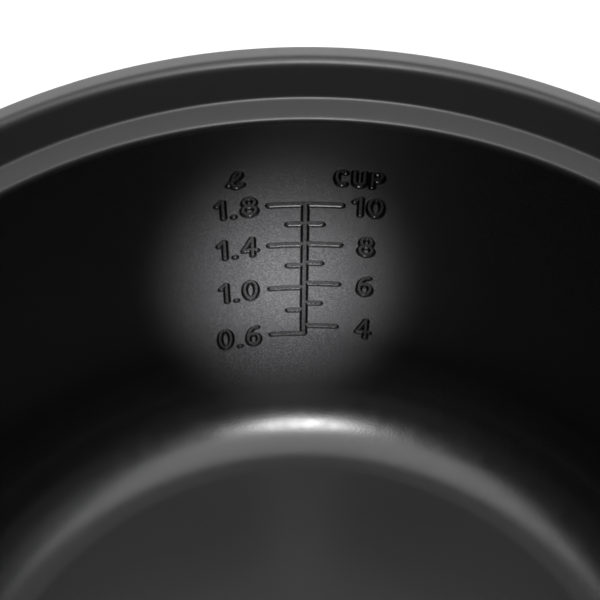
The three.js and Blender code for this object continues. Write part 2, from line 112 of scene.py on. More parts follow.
def flowing(points, pieces=6):
    """A smooth curve through points (Catmull-Rom)."""
    p = np.array(points, float)
    p = np.vstack([2 * p[0] - p[1], p, 2 * p[-1] - p[-2]])
    out = []
    for i in range(1, len(p) - 2):
        for s in np.linspace(0, 1, pieces, endpoint=False):
            out.append(0.5 * (2 * p[i] + (p[i + 1] - p[i - 1]) * s
                              + (2 * p[i - 1] - 5 * p[i] + 4 * p[i + 1] - p[i + 2]) * s ** 2
                              + (3 * p[i] - p[i - 1] - 3 * p[i + 1] + p[i + 2]) * s ** 3))
    out.append(p[-2])
    return [tuple(q) for q in out]


def inset(curve, thickness):
    """The curve moved to its left by a thickness."""
    along = np.gradient(np.array(curve, float), axis=0)
    along /= np.linalg.norm(along, axis=1)[:, None]
    return [tuple(p) for p in np.array(curve) + thickness * np.stack([-along[:, 1], along[:, 0]], axis=1)]


def make_object(name, vertices, faces, place=STANDING):
    """A mesh object from points in millimetres, smooth, with its faces turned outwards."""
    matrix = np.array(place)
    points = np.asarray(vertices, float) @ matrix[:3, :3].T + matrix[:3, 3]
    mesh = bpy.data.meshes.new(name)
    mesh.from_pydata(points.tolist(), [], faces)
    work = bmesh.new()
    work.from_mesh(mesh)
    bmesh.ops.remove_doubles(work, verts=work.verts, dist=1e-7)
    bmesh.ops.recalc_face_normals(work, faces=work.faces)
    for face in work.faces:
        face.smooth = True
    work.to_mesh(mesh)
    work.free()
    obj = bpy.data.objects.new(name, mesh)
    bpy.context.collection.objects.link(obj)
    return obj


def turned(name, outline, place=STANDING, sides=180, angles=None, shape=None):
    """Turns an outline of (radius, height) points about the local Z axis.

    An outline that starts and ends on the axis is a solid disc, any other is closed into a ring."""
    angles = np.linspace(0, 2 * math.pi, sides, endpoint=False) if angles is None else np.asarray(angles)
    outline = np.asarray(outline, float)
    radius = np.repeat(outline[:, :1], len(angles), axis=1)
    height = np.repeat(outline[:, 1:2], len(angles), axis=1)
    if shape:
        radius = shape(radius, height, angles)
    vertices = np.stack([radius * np.cos(angles), radius * np.sin(angles), height], axis=-1).reshape(-1, 3)
    rows, columns = radius.shape
    solid_disc = outline[0, 0] < 1e-6 and outline[-1, 0] < 1e-6
    faces = []
    for i in range(rows - 1 if solid_disc else rows):
        a, b = i * columns, ((i + 1) % rows) * columns
        for j in range(columns):
            k = (j + 1) % columns
            if outline[i, 0] < 1e-6:
                faces.append((a, b + j, b + k))
            elif outline[(i + 1) % rows, 0] < 1e-6:
                faces.append((a + j, b, a + k))
            else:
                faces.append((a + j, a + k, b + k, b + j))
    return make_object(name, vertices, faces, place)


def prism(name, outline, low, high, along="y", place=STANDING):
    """Extrudes a closed outline along one axis.

    Along y the outline is (x, z), along x (y, z), along z (x, y)."""
    order = {"x": (2, 0, 1), "y": (0, 2, 1), "z": (0, 1, 2)}[along]
    vertices = [np.array([u, v, w])[list(order)] for w in (low, high) for u, v in outline]
    count = len(outline)
    faces = [tuple(range(count)), tuple(range(count, 2 * count))]
    faces += [(i, (i + 1) % count, count + (i + 1) % count, count + i) for i in range(count)]
    return make_object(name, vertices, faces, place)


def panel_outline(half_width, low, high, corner):
    """A rectangle with round corners, centred on x = 0."""
    corners = [(-half_width, low), (half_width, low), (half_width, high), (-half_width, high)]
    return softened([(x, z, corner) for x, z in corners], 6)


def block(name, low, high, place=STANDING):
    return prism(name, [(low[0], low[2]), (high[0], low[2]), (high[0], high[2]), (low[0], high[2])],
                 low[1], high[1], "y", place)


def rod(name, radius, low, high, along, at=(0, 0), place=STANDING, sides=48, edge=0.0):
    """A round bar along one axis, with its rim eased by edge."""
    turn = {"z": Matrix.Identity(4), "x": Matrix.Rotation(math.pi / 2, 4, "Y"),
            "y": Matrix.Rotation(-math.pi / 2, 4, "X")}[along]
    spot = {"z": (at[0], at[1], 0), "x": (0, at[0], at[1]), "y": (at[0], 0, at[1])}[along]
    rim = [(radius, low, edge), (radius, high, edge)] if edge else [(radius, low), (radius, high)]
    outline = softened([(0, low), *rim, (0, high)], 3)
    return turned(name, outline, place @ Matrix.Translation(spot) @ turn, sides)


def settle(obj):
    """Applies the modifiers."""
    graph = bpy.context.evaluated_depsgraph_get()
    mesh = bpy.data.meshes.new_from_object(obj.evaluated_get(graph))
    obj.modifiers.clear()
    old, obj.data = obj.data, mesh
    bpy.data.meshes.remove(old)
    mesh.name = obj.name


def combine(obj, how, *tools):
    """Joins, cuts or intersects with other objects, which are used up."""
    for tool in tools:
        modifier = obj.modifiers.new(how.lower(), "BOOLEAN")
        modifier.operation, modifier.object, modifier.solver = how, tool, "EXACT"
        settle(obj)
        bpy.data.objects.remove(tool)
    return obj


def ease(obj, width, segments=3, angle=35):
    """Rounds the sharp edges and weights the normals, so that flat faces stay flat."""
    work = bmesh.new()
    work.from_mesh(obj.data)
    bmesh.ops.remove_doubles(work, verts=work.verts, dist=1e-6)
    bmesh.ops.dissolve_limit(work, angle_limit=math.radians(0.4), verts=work.verts, edges=work.edges)
    for face in work.faces:
        face.smooth = True
    work.to_mesh(obj.data)
    work.free()
    if width:
        bevel = obj.modifiers.new("ease", "BEVEL")
        bevel.width, bevel.segments, bevel.limit_method = width * MM, segments, "ANGLE"
        bevel.angle_limit = math.radians(angle)
        bevel.miter_outer = "MITER_ARC"
    weigh(obj)
    return obj


def weigh(obj):
    obj.modifiers.new("even", "WEIGHTED_NORMAL").weight = 80


def copy_of(node, name):
    """A free copy of a CAD node's mesh."""
    obj = bpy.data.objects.new(name, frame["nodes"][node].data.copy())
    bpy.context.collection.objects.link(obj)
    return obj


def finish_piece(obj, body, slot, material, *nodes):
    """Gives a piece its body and its material, and hides the CAD nodes it stands for; slot is not used."""
    obj.data.materials.clear()
    obj.data.materials.append(material)
    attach(obj, body)
    if nodes:
        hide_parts(*nodes)
    return obj


# ---------------------------------------------------------------- materials
def principled(name, colour, roughness, metallic=0.0, **sockets):
    material = bpy.data.materials.new(name)
    material.use_nodes = True
    shader = material.node_tree.nodes["Principled BSDF"]
    shader.inputs["Base Color"].default_value = (*colour, 1)
    shader.inputs["Roughness"].default_value = roughness
    shader.inputs["Metallic"].default_value = metallic
    for socket, value in sockets.items():
        shader.inputs[socket.replace("_", " ")].default_value = value
    return material


def node(material, kind, **values):
    made = material.node_tree.nodes.new(kind)
    for key, value in values.items():
        if key in made.inputs:
            made.inputs[key].default_value = value
        else:
            setattr(made, key, value)
    return made


def link(material, source, target):
    material.node_tree.links.new(source, target)


def object_place(material, stretch=(1, 1, 1), centre=(0, 0, 0)):
    """The point on the object, in metres, moved to centre and stretched."""
    coordinates = node(material, "ShaderNodeTexCoord")
    mapping = node(material, "ShaderNodeMapping", vector_type="POINT")
    mapping.inputs["Location"].default_value = [-c * s for c, s in zip(centre, stretch)]
    mapping.inputs["Scale"].default_value = stretch
    link(material, coordinates.outputs["Object"], mapping.inputs["Vector"])
    return mapping.outputs["Vector"]


def grain(material, size_mm, detail=3.0, stretch=(1, 1, 1)):
    """A noise whose lumps are about size_mm across."""
    texture = node(material, "ShaderNodeTexNoise", Scale=1000 / size_mm, Detail=detail)
    link(material, object_place(material, stretch), texture.inputs["Vector"])
    return texture.outputs["Fac"]


def spread(material, source, low, high, start=0.3, end=0.7):
    """Maps a noise onto a range of values."""
    ramp = node(material, "ShaderNodeMapRange")
    for socket, value in zip(("From Min", "From Max", "To Min", "To Max"), (start, end, low, high)):
        ramp.inputs[socket].default_value = value
    link(material, source, ramp.inputs["Value"])
    return ramp.outputs["Result"]


def tint(material, source, dark, light, low=0.3, high=0.7):
    ramp = node(material, "ShaderNodeValToRGB")
    ramp.color_ramp.elements[0].position, ramp.color_ramp.elements[1].position = low, high
    ramp.color_ramp.elements[0].color = (*dark, 1)
    ramp.color_ramp.elements[1].color = (*light, 1)
    link(material, source, ramp.inputs["Fac"])
    return ramp.outputs["Color"]


def mixed(material, share, first, second):
    """Mixes two colours, each a triple or a socket, by share."""
    mix = node(material, "ShaderNodeMix", data_type="RGBA")
    link(material, share, mix.inputs[0])
    for colour, socket in ((first, mix.inputs[6]), (second, mix.inputs[7])):
        if isinstance(colour, tuple):
            socket.default_value = (*colour, 1)
        else:
            link(material, colour, socket)
    return mix.outputs[2]


def into(material, source, socket):
    link(material, source, material.node_tree.nodes["Principled BSDF"].inputs[socket])


def relief(material, *layers):
    """Bump from one or more (height, depth in mm) layers."""
    previous = None
    for height, depth in layers:
        bump = node(material, "ShaderNodeBump", Strength=1.0, Distance=depth * MM)
        link(material, height, bump.inputs["Height"])
        if previous:
            link(material, previous, bump.inputs["Normal"])
        previous = bump.outputs["Normal"]
    into(material, previous, "Normal")


def moulded(name, colour, roughness, grain_mm, depth, **sockets):
    """Moulded plastic: a fine erosion grain, faint flow marks and slightly uneven gloss."""
    material = principled(name, colour, roughness, **sockets)
    broad = grain(material, 45, 2)
    darker = tuple(c * 0.94 for c in colour)
    into(material, tint(material, broad, darker, colour), "Base Color")
    into(material, spread(material, grain(material, 9, 4), roughness * 0.88, roughness * 1.15), "Roughness")
    relief(material, (grain(material, grain_mm, 3), depth))
    return material


def brushed(name, colour, roughness, stretch, depth=0.004, metallic=1.0):
    """Metal with fine straight scratches; stretch squeezes the noise across them."""
    material = principled(name, colour, roughness, metallic)
    lines = grain(material, 0.5, 4, stretch)
    into(material, tint(material, lines, tuple(c * 0.86 for c in colour), colour), "Base Color")
    into(material, spread(material, lines, roughness * 0.8, roughness * 1.25), "Roughness")
    relief(material, (lines, depth))
    return material


def spun(name, colour, roughness, centre, across):
    """Metal spun or brushed in circles about centre; across holds 1 for the two axes of the circle."""
    material = principled(name, colour, roughness, 1.0)
    length = node(material, "ShaderNodeVectorMath", operation="LENGTH")
    link(material, object_place(material, across, centre), length.inputs[0])
    rings = node(material, "ShaderNodeTexNoise", Scale=2600.0, Detail=4.0, noise_dimensions="1D")
    link(material, length.outputs["Value"], rings.inputs["W"])
    lines = rings.outputs["Fac"]
    into(material, tint(material, lines, tuple(c * 0.84 for c in colour), colour), "Base Color")
    into(material, spread(material, lines, roughness * 0.8, roughness * 1.3), "Roughness")
    relief(material, (lines, 0.006))
    return material


def non_stick():
    """Black satin coating: fine orange peel, rougher on the rim and painted lighter there as a highlight
    where the flange and ledge catch the light, with painted shade in the engraved marks, whose flanks go
    black.
    """
    black, speck_and_rim_highlight = (0.004, 0.004, 0.0042), (0.02, 0.02, 0.0205)
    material = principled("non_stick_coating", black, 0.3, 0.0, IOR=1.6)
    height = node(material, "ShaderNodeSeparateXYZ")
    link(material, object_place(material), height.inputs["Vector"])
    rim = spread(material, height.outputs["Z"], 0.0, 1.0, (RIM - 13) * MM, (RIM - 11) * MM)
    # painted shade in the grooves: this attribute turns the flanks black and, through Metallic, takes their
    # sheen away too
    recess = node(material, "ShaderNodeAttribute", attribute_name=GROOVE_SHADE)
    # on the rim the colour goes lighter: a painted highlight on the flange and ledge, where they catch the
    # light
    colour = mixed(material, rim, black, speck_and_rim_highlight)
    specks = spread(material, grain(material, 0.5, 2), 0, 0.25, 0.42, 0.68)
    colour = mixed(material, specks, colour, speck_and_rim_highlight)
    # painted shade: the grooves' flanks go black
    colour = mixed(material, recess.outputs["Fac"], colour, (0, 0, 0))
    into(material, colour, "Base Color")
    into(material, recess.outputs["Fac"], "Metallic")
    rougher = node(material, "ShaderNodeMath", operation="MULTIPLY_ADD")
    link(material, rim, rougher.inputs[0])
    rougher.inputs[1].default_value = 0.14
    link(material, spread(material, grain(material, 5, 4), 0.225, 0.27), rougher.inputs[2])
    into(material, rougher.outputs["Value"], "Roughness")
    relief(material, (grain(material, 0.6, 2), 0.014), (grain(material, 6, 2), 0.01))
    return material


def clear_tinted(name, colour, roughness, transmission):
    material = principled(name, colour, roughness, 0.0, Transmission_Weight=transmission, IOR=1.49)
    into(material, spread(material, grain(material, 4, 3), roughness * 0.8, roughness * 1.3), "Roughness")
    relief(material, (grain(material, 1.2, 2), 0.004))
    return material


def felt_mat():
    material = principled("glass_felt", (0.72, 0.68, 0.58), 0.95)
    fibres = grain(material, 0.8, 6, (1, 1, 0.25))
    into(material, tint(material, fibres, (0.5, 0.46, 0.38), (0.8, 0.76, 0.66)), "Base Color")
    relief(material, (fibres, 0.25))
    return material


WHITE = moulded("white_gloss", (0.66, 0.66, 0.645), 0.2, 1.6, 0.0025, Coat_Weight=0.35, Coat_Roughness=0.08)
GREY = moulded("grey_satin", (0.30, 0.31, 0.32), 0.42, 0.45, 0.012)
DARK = moulded("black_satin", (0.022, 0.022, 0.024), 0.4, 0.4, 0.012)
COATING = non_stick()
LID_CENTRE = OPEN_LID @ Vector((0, 0, RIM))
INNER_LID = spun("spun_aluminium", (0.80, 0.81, 0.82), 0.27, LID_CENTRE, (1, 0, 1))
PLATE = spun("cast_plate", (0.72, 0.72, 0.73), 0.36, POT_AXIS, (1, 1, 0))
CAN = brushed("aluminised_sheet", (0.70, 0.71, 0.72), 0.34, (1, 1, 0.04))
STEEL = brushed("plated_steel", (0.60, 0.60, 0.61), 0.3, (0.08, 1, 1))
BRASS = brushed("brass", (0.74, 0.56, 0.27), 0.28, (1, 0.08, 1))
RUBBER = moulded("foot_rubber", (0.028, 0.028, 0.028), 0.72, 0.35, 0.02)
SILICONE = moulded("silicone", (0.55, 0.55, 0.54), 0.48, 0.5, 0.008, Subsurface_Weight=0.15)
FERRITE = moulded("ferrite", (0.055, 0.055, 0.06), 0.6, 0.3, 0.02)
CREAM = moulded("terminal_ceramic", (0.78, 0.73, 0.62), 0.45, 0.4, 0.01)
BOARD = moulded("board", (0.03, 0.17, 0.05), 0.35, 0.8, 0.006)
RED = clear_tinted("red_lens", (0.75, 0.04, 0.02), 0.12, 0.35)
AMBER = clear_tinted("amber_lens", (0.9, 0.42, 0.04), 0.12, 0.35)
CLEAR = clear_tinted("clear_cup", (0.86, 0.9, 0.92), 0.14, 0.75)
FELT = felt_mat()


# ---------------------------------------------------------------- the measuring scale in the pot
# Along the wall u is the distance round it in mm, 0 at the far side; heights are above the pot's floor.
LINE_U = -5.9
LITRE_MARKS = {1.8: 87.5, 1.6: 80.0, 1.4: 71.9, 1.2: 63.3, 1.0: 53.8, 0.8: 43.8, 0.6: 32.8}
CUP_MARKS = {10: 87.5, 9: 80.0, 8: 72.1, 7: 64.3, 6: 55.7, 5: 46.9, 4: 36.5}
LONG_TICK, SHORT_TICK = 9.0, 4.2
TICK_HALF, FIGURE_HALF, SOFT = 0.8, 0.66, 0.3
GROOVE_DEPTH = 0.55
FINE = 0.17  # between the points of the wall where the scale is
SCALE_SIDE = 36  # the scale lies within this distance of u = 0
SCALE_LOW, SCALE_HIGH = 20, 104  # and between these heights
WALL_LOW, WALL_HIGH = (112.5, 90.0), (115.0, 184.8)  # (radius, height) at both ends of the pot's wall
WALL_MID = 114.0  # the radius that turns an angle into u


def oval(x, y, across, up, start=0, end=360):
    turns = np.radians(np.linspace(start, end, 25))
    return [(x + across * math.cos(t), y + up * math.sin(t)) for t in turns]


GLYPHS = {  # strokes in a cell one unit high
    "0": [oval(0.26, 0.5, 0.26, 0.5)],
    "1": [[(0.32, 0), (0.32, 1), (0.08, 0.78)]],
    "4": [[(0.38, 0), (0.38, 1), (0, 0.3), (0.54, 0.3)]],
    "6": [oval(0.27, 0.3, 0.25, 0.3), flowing([(0.03, 0.36), (0.06, 0.62), (0.2, 0.88), (0.44, 1.0)])],
    "8": [oval(0.27, 0.75, 0.21, 0.25), oval(0.27, 0.26, 0.26, 0.26)],
    ".": [[(0.06, 0.0), (0.08, 0.0)]],
    "C": [oval(0.28, 0.5, 0.28, 0.5, 55, 305)],
    "U": [[(0, 1), (0, 0.28)] + oval(0.26, 0.28, 0.26, 0.28, 180, 360) + [(0.52, 1)]],
    "P": [[(0, 0), (0, 1), (0.26, 1)] + oval(0.26, 0.74, 0.24, 0.26, 90, -90) + [(0, 0.48)]],
    "l": [flowing([(0.0, 0.2), (0.3, 0.5), (0.5, 0.86), (0.38, 1.0), (0.22, 0.7), (0.16, 0.2), (0.3, 0.0),
                   (0.56, 0.16)])],
}
WIDTHS = {".": 0.14, "1": 0.36, "l": 0.56}


def lettering(text, centre, middle, height, wide=6.2, gap=1.9):
    """Strokes of a line of text on the wall, each a list of (u, height) points."""
    widths = [wide * WIDTHS.get(c, 0.54) for c in text]
    left = centre - (sum(widths) + gap * (len(text) - 1)) / 2
    strokes = []
    for character, width in zip(text, widths):
        for stroke in GLYPHS[character]:
            strokes.append([(left + x * wide, middle + (y - 0.5) * height) for x, y in stroke])
        left += width + gap
    return strokes


def scale_strokes():
    """The ticks and the figures, as two lists of strokes."""
    lowest = min(LITRE_MARKS.values())
    ticks = [[(LINE_U, max(LITRE_MARKS.values())), (LINE_U, lowest)]]
    figures = []
    for side, marks, numbered, centre, drift in ((-1, LITRE_MARKS, (1.8, 1.4, 1.0, 0.6), -23.4, -0.015),
                                                 (1, CUP_MARKS, (10, 8, 6, 4), 9.7, 0.027)):
        for value, up in marks.items():
            reach = LONG_TICK if value in numbered else SHORT_TICK
            ticks.append([(LINE_U, up), (LINE_U + side * reach, up)])
            if value in numbered:
                below = 87.5 - up
                figures += lettering(str(value), centre + drift * below, up, 6.0 + 0.04 * below)
    figures += lettering("CUP", 7.3, 97.5, 4.7, 4.7, 1.8)
    figures += lettering("l", -23.1, 97.7, 4.9, 6.0)
    return ticks, figures


def nearest_stroke(strokes, u, up):
    """Each point's distance to the nearest stroke, and how far it lies above that stroke, -1 to 1."""
    nearest, above = np.full(u.shape, 1e3), np.zeros(u.shape)
    for stroke in strokes:
        for (ax, ay), (bx, by) in zip(stroke, stroke[1:]):
            dx, dy = bx - ax, by - ay
            share = ((u - ax) * dx + (up - ay) * dy) / max(dx * dx + dy * dy, 1e-9)
            share = share.clip(0, 1)
            lift = up - ay - share * dy
            distance = np.hypot(u - ax - share * dx, lift)
            closer = distance < nearest
            nearest[closer] = distance[closer]
            above[closer] = (lift / np.maximum(distance, 1e-6))[closer]
    return nearest, above


def stroke_share(u, up):
    """How deep each point lies in the scale's grooves, and how much painted shade their flanks get there,
    both 0 to 1.
    """
    ticks, figures = scale_strokes()
    share, groove_shade = np.zeros(u.shape), np.zeros(u.shape)
    for strokes, half in ((ticks, TICK_HALF), (figures, FIGURE_HALF)):
        distance, above = nearest_stroke(strokes, u, up)
        t = ((half + SOFT - distance) / (2 * SOFT)).clip(0, 1)
        share = np.maximum(share, t * t * (3 - 2 * t))
        # painted shade: the upper flank of a stroke darker than the lower, as if lit from above, and a little
        # inside the groove
        edge = (1.6 - np.abs(distance - half + 0.2 * above) / SOFT).clip(0, 1)
        edge *= (0.85 + 0.3 * above).clip(0, 1)
        groove_shade = np.maximum(groove_shade, np.maximum(edge, 0.3 * t))
    return share, groove_shade


def round_the_wall(angles):
    """The distance u for angles about the pot's axis."""
    return (((math.pi - angles) + math.pi) % (2 * math.pi) - math.pi) * WALL_MID


def engraved(radius, height, angles):
    """Pushes the wall's surface outwards along the scale's strokes."""
    u = round_the_wall(angles)
    up = height[:, 0] - FLOOR
    inside = radius[:, 0] < wall_radius(height[:, 0]) + 0.3
    rows = np.where(inside & (up > SCALE_LOW) & (up < SCALE_HIGH))[0]
    columns = np.where(np.abs(u) < SCALE_SIDE)[0]
    here = np.ix_(rows, columns)
    radius = radius.copy()
    share, _ = stroke_share(np.repeat(u[None, columns], len(rows), axis=0), height[here] - FLOOR)
    radius[here] += GROOVE_DEPTH * share
    return radius


def note_recess(pot):
    """Stores the painted shade on the grooves' flanks, for the coating."""
    points = np.empty(len(pot.data.vertices) * 3)
    pot.data.vertices.foreach_get("co", points)
    points = (points.reshape(-1, 3) - np.array(POT_AXIS)) / MM
    u = round_the_wall(np.arctan2(points[:, 1], points[:, 0]))
    up = points[:, 2] - FLOOR
    inside = np.hypot(points[:, 0], points[:, 1]) < wall_radius(points[:, 2]) + 0.7
    near = inside & (np.abs(u) < SCALE_SIDE) & (up > SCALE_LOW) & (up < SCALE_HIGH)
    groove_shade = np.zeros(len(points))
    groove_shade[near] = stroke_share(u[near], up[near])[1]
    pot.data.attributes.new(GROOVE_SHADE, "FLOAT", "POINT").data.foreach_set("value", groove_shade)


def wall_radius(z):
    """The radius of the pot's leaning wall at a height."""
    lean = (WALL_HIGH[0] - WALL_LOW[0]) / (WALL_HIGH[1] - WALL_LOW[1])
    return WALL_LOW[0] + (z - WALL_LOW[1]) * lean


def inner_pot():
    """The pot, with its points close together only where the scale is."""
    wall = [(wall_radius(z), z) for z in np.arange(FLOOR + 28, FLOOR + 103, FINE)]
    foot = wall_radius(FLOOR)
    ledge = RIM - 11.1
    above_wall = (wall_radius(RIM - 24), RIM - 24)
    corner = softened([(0, FLOOR), (foot, FLOOR, FILLET), (wall_radius(ledge), ledge), (0, ledge)], 240)
    corner = [p for i, p in enumerate(corner) if p[1] < FLOOR + 27.9 and (p[1] > FLOOR + 21 or i % 12 == 1)]
    floor_rings = [(r, FLOOR) for r in (0, 30, 60)]
    rest = softened([
        above_wall, (wall_radius(ledge), ledge, 1.3), (120.4, ledge + 1.95, 1.2), (123.2, RIM, 2.6),
        (FLANGE, RIM, 0.7), (FLANGE, RIM - 2.1, 0.7), (124.8, RIM - 2.1, 0.7), (123.8, ledge - 2, 1.8),
        (WALL_HIGH[0] + 2, ledge - 2, 1.8), (foot + 2.3, FLOOR - 2.5, FILLET + 2.0), (0, FLOOR - 2.5)], 7)
    outline = floor_rings + corner[1:] + wall + rest[1:]
    scale_zone = math.pi - np.arange(-34.0, 19.0, FINE)[::-1] / WALL_MID
    coarse = np.linspace(scale_zone[-1], scale_zone[0] + 2 * math.pi, 170)[1:-1]
    angles = np.concatenate([scale_zone, coarse])
    pot = turned("pot_with_scale", outline, angles=angles, shape=engraved)
    note_recess(pot)
    return finish_piece(pot, "pot", "pot_coating", COATING, "inner_pot")


# ---------------------------------------------------------------- body of the cooker
def shell_core(name, extra, low=10, high=190):
    """Everything inside the body's outer surface, swollen by extra."""
    line = [(r + extra, z) for r, z in flowing(SHELL_LINE)]
    return turned(name, [(0, low), (line[0][0], low), *line, (line[-1][0], high), (0, high)])


def outer_shell():
    outside = flowing(SHELL_LINE)
    inside = [(r - 2.0, z) for r, z in reversed(outside)]
    shell = turned("body_shell", outside + inside)
    combine(shell, "DIFFERENCE",
            prism("cut", panel_outline(37, 19, 75, 7), -150, -110),
            prism("cut", panel_outline(15.6, 162.8, 177.2, 3), -150, -110),
            prism("cut", panel_outline(17.4, 23.6, 52.4, 1.5), 110, 150))
    ease(shell, 0.35)
    finish_piece(shell, "base", "white_body", WHITE, "outer_shell")


def top_collar():
    seat = RIM - 2.4
    collar = turned("body_collar", softened([
        (125.6, 178, 0.2), (125.6, seat, 0.3), (127.6, seat, 0.8), (130.6, 190.4, 1.5),
        (131.6, 186.6, 1.2), (135.9, 185.7, 1.2), (136.3, 184.3, 0.3), (133.8, 184.3, 0.2),
        (133.8, 177.4, 0.2), (132.2, 177.4, 0.2), (132.2, 183.6, 0.6), (129.6, 184.4, 0.6),
        (128.8, 189.2, 0.6), (127.4, 191.4, 0.3), (127.4, 178, 0.2)], 4))
    combine(collar, "DIFFERENCE", block("cut", (-8.5, -134.6, 172), (8.5, -127.5, 200)))
    ease(collar, 0.25, 2)
    finish_piece(collar, "base", "white_body", WHITE, "top_collar")


def base_tray():
    tray = turned("base_ring", softened([
        (112, 4, 0.6), (124, 4, 1.5), (129.2, 7, 4), (131.6, 13.7, 0.8), (129.9, 13.7, 0.2), (129.9, 20, 0.3),
        (128.3, 20, 0.3), (128.3, 14, 2), (126.2, 9, 2), (123, 6.5, 1), (112, 6.5, 0.5)], 5))
    weigh(tray)
    finish_piece(tray, "base", "grey_trim", GREY, "base_tray")

    cover = turned("base_cover", softened([(0, 6.8), (119, 6.8, 0.5), (119, 8.8, 0.5), (0, 8.8)], 3))
    slots = []
    for i in (-2, -1, 0, 1, 2):
        outline = [(14 * i + x, y) for x, y in panel_outline(2.5, 20, 70, 2.4)]
        slots.append(prism("cut", outline, 5, 10, "z"))
    combine(cover, "DIFFERENCE", *slots)
    ease(cover, 0.3, 2)
    finish_piece(cover, "base", "grey_trim", GREY, "bottom_cover")

    for i in range(4):
        low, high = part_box(f"foot_{i + 1}")
        middle = (low + high) / 2
        place = Matrix.Translation((middle.x, middle.y, 0)) @ Matrix.Scale(MM, 4)
        foot = turned(f"rubber_foot_{i + 1}", softened([
            (0, 0.25), (3.4, 0.25, 0.3), (3.8, 0, 0.3), (5.3, 0, 0.6), (5.8, 3.7, 0.2), (0, 3.7)], 4),
                      place, 48)
        weigh(foot)
        finish_piece(foot, "base", "rubber_feet", RUBBER, f"foot_{i + 1}")
    for i in range(2):
        screw(f"base_screw_{i + 1}")


def screw(name):
    """A pan-head screw, seen from below, with a cross recess."""
    low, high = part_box(name)
    middle = (low + high) / 2
    place = Matrix.Translation((middle.x, middle.y, low.z)) @ Matrix.Scale(MM, 4)
    outline = softened([(0, 0), (1.6, 0, 1.0), (2.95, 0.7, 0.5), (2.95, 1.5), (0, 1.5)], 4)
    head = turned(f"{name}_head", outline, place, 40)
    combine(head, "DIFFERENCE",
            block("cut", (-1.6, -0.35, -0.5), (1.6, 0.35, 0.8), place),
            block("cut", (-0.35, -1.6, -0.5), (0.35, 1.6, 0.8), place))
    ease(head, 0.08, 2)
    finish_piece(head, "base", "steel", STEEL, name)


def front_panel():
    face = 142.0
    line = [(r + 0.4, z) for r, z in flowing(SHELL_LINE) if 12 < z < 90]
    panel = turned("switch_panel", softened([(face, 12), (face, 92)]) + line[::-1], sides=300)
    combine(panel, "INTERSECT", prism("keep", panel_outline(41, 15, 80, 9), -150, -100))
    combine(panel, "DIFFERENCE",
            prism("cut", panel_outline(14.6, 20, 40.2, 3.5), -160, -110),
            prism("cut", panel_outline(7.3, ROCKER_Z - 10.8, ROCKER_Z + 10.8, 1.2), -160, -110),
            rod("cut", 4.9, -160, -110, "y", (-22, ROCKER_Z)),
            rod("cut", 4.9, -160, -110, "y", (22, ROCKER_Z)))
    ease(panel, 0.8, 4)
    finish_piece(panel, "base", "grey_trim", GREY, "front_panel")

    for name, node_name, side, slot, material in (("cook_lens", "cook_lamp", -22, "red_lens", RED),
                                                  ("warm_lens", "warm_lamp", 22, "amber_lens", AMBER)):
        place = STANDING @ Matrix.Translation((side, -134, ROCKER_Z)) @ Matrix.Rotation(math.pi / 2, 4, "X")
        outline = softened([(0, 0), (4.5, 0, 0.3), (4.5, 6.8, 0.6), (3.4, 7.5, 2.5), (0, 7.8)], 5)
        lens = turned(name, outline, place, 64)
        weigh(lens)
        finish_piece(lens, "base", slot, material, node_name)

    for x in (-22, 22):  # a thin raised ring round each lamp
        place = STANDING @ Matrix.Translation((x, -139.5, ROCKER_Z)) @ Matrix.Rotation(math.pi / 2, 4, "X")
        outline = softened([(4.95, 0, 0.1), (6.2, 0, 0.1), (6.0, 2.5, 0.4), (4.95, 2.5, 0.3)], 3)
        ring = turned("lamp_ring_left" if x < 0 else "lamp_ring_right", outline, place, 64)
        weigh(ring)
        finish_piece(ring, "base", "black_plastic", DARK)


def cooking_knob():
    knob = prism("cooking_paddle", panel_outline(13, KNOB_Z - 5, KNOB_Z + 5, 3), -156, -136)
    cutter = rod("cut", 26, -20, 20, "x", (-149, KNOB_Z + 29.6), sides=96)  # finger hollow on top
    hollow = block("cut", (-4.3, -138, KNOB_Z - 1.05), (4.3, -130, KNOB_Z + 1.05))
    combine(knob, "DIFFERENCE", cutter, hollow)
    ease(knob, 1.1, 4)
    finish_piece(knob, "lever", "black_plastic", DARK, "cooking_knob")


def warm_rocker():
    rocker = copy_of("keep_warm_rocker", "warm_rocker_cap")
    ease(rocker, 0.7, 3, 12)
    finish_piece(rocker, "rocker", "black_plastic", DARK, "keep_warm_rocker")


def latch_button():
    line = [(r + 0.4, z) for r, z in flowing(SHELL_LINE) if 150 < z] + [(136.0, 190)]
    bezel = turned("latch_bezel", [(141, 150), (141, 190)] + line[::-1], sides=300)
    combine(bezel, "INTERSECT", prism("keep", panel_outline(21, 157.5, 182, 6), -150, -100))
    combine(bezel, "DIFFERENCE", prism("cut", panel_outline(15.6, 162.8, 177.2, 3), -160, -110))
    ease(bezel, 0.9, 4)
    finish_piece(bezel, "base", "grey_trim", GREY, "button_bezel")

    button = turned("latch_thumb", [(128, 150), (142.6, 150), (142.6, 190), (128, 190)], sides=300)
    combine(button, "INTERSECT", prism("keep", panel_outline(15, 163.4, 176.6, 2.6), -150, -136.4))
    ribs = [block("cut", (-9, -150, LATCH_Z + 2.2 * i - 0.45), (9, -142.15, LATCH_Z + 2.2 * i + 0.45))
            for i in (-1, 0, 1)]
    combine(button, "DIFFERENCE", *ribs)
    ease(button, 0.5, 3)
    finish_piece(button, "button", "grey_trim", GREY, "release_button")


